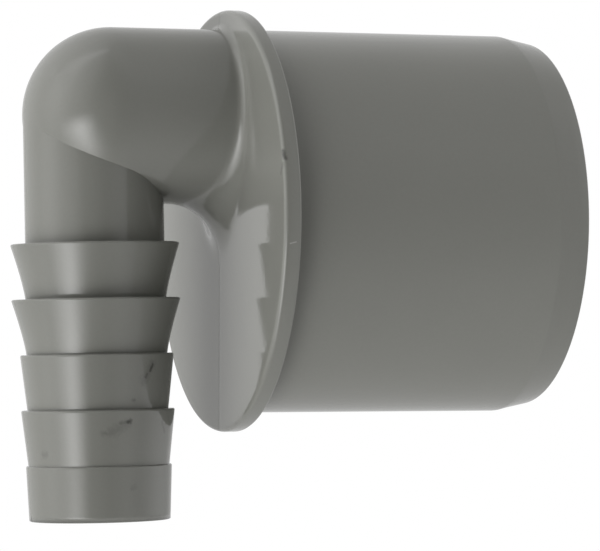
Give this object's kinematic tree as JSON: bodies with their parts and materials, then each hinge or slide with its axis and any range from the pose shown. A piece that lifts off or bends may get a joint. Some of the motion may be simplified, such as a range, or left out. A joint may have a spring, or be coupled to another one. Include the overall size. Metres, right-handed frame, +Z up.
{
  "type": "waste hose elbow",
  "caption": "One-piece grey plastic elbow that joins a ribbed waste hose tail to a larger pipe socket through a flanged spigot.",
  "frame": {"origin": "centre of the flange's rear face, the shoulder that stops against the pipe socket, on the spigot's axis", "axes": "+X along the spigot towards its open end, +Z up in use, with the hose tail pointing down; the part is symmetric about Y = 0"},
  "size_m": [0.07, 0.055, 0.0664],
  "materials": {
    "elbow_plastic": "moulded mid grey plastic with a soft gloss"
  },
  "bodies": {
    "root": {"elbow": "elbow_plastic"}
  },
  "joints": []
}
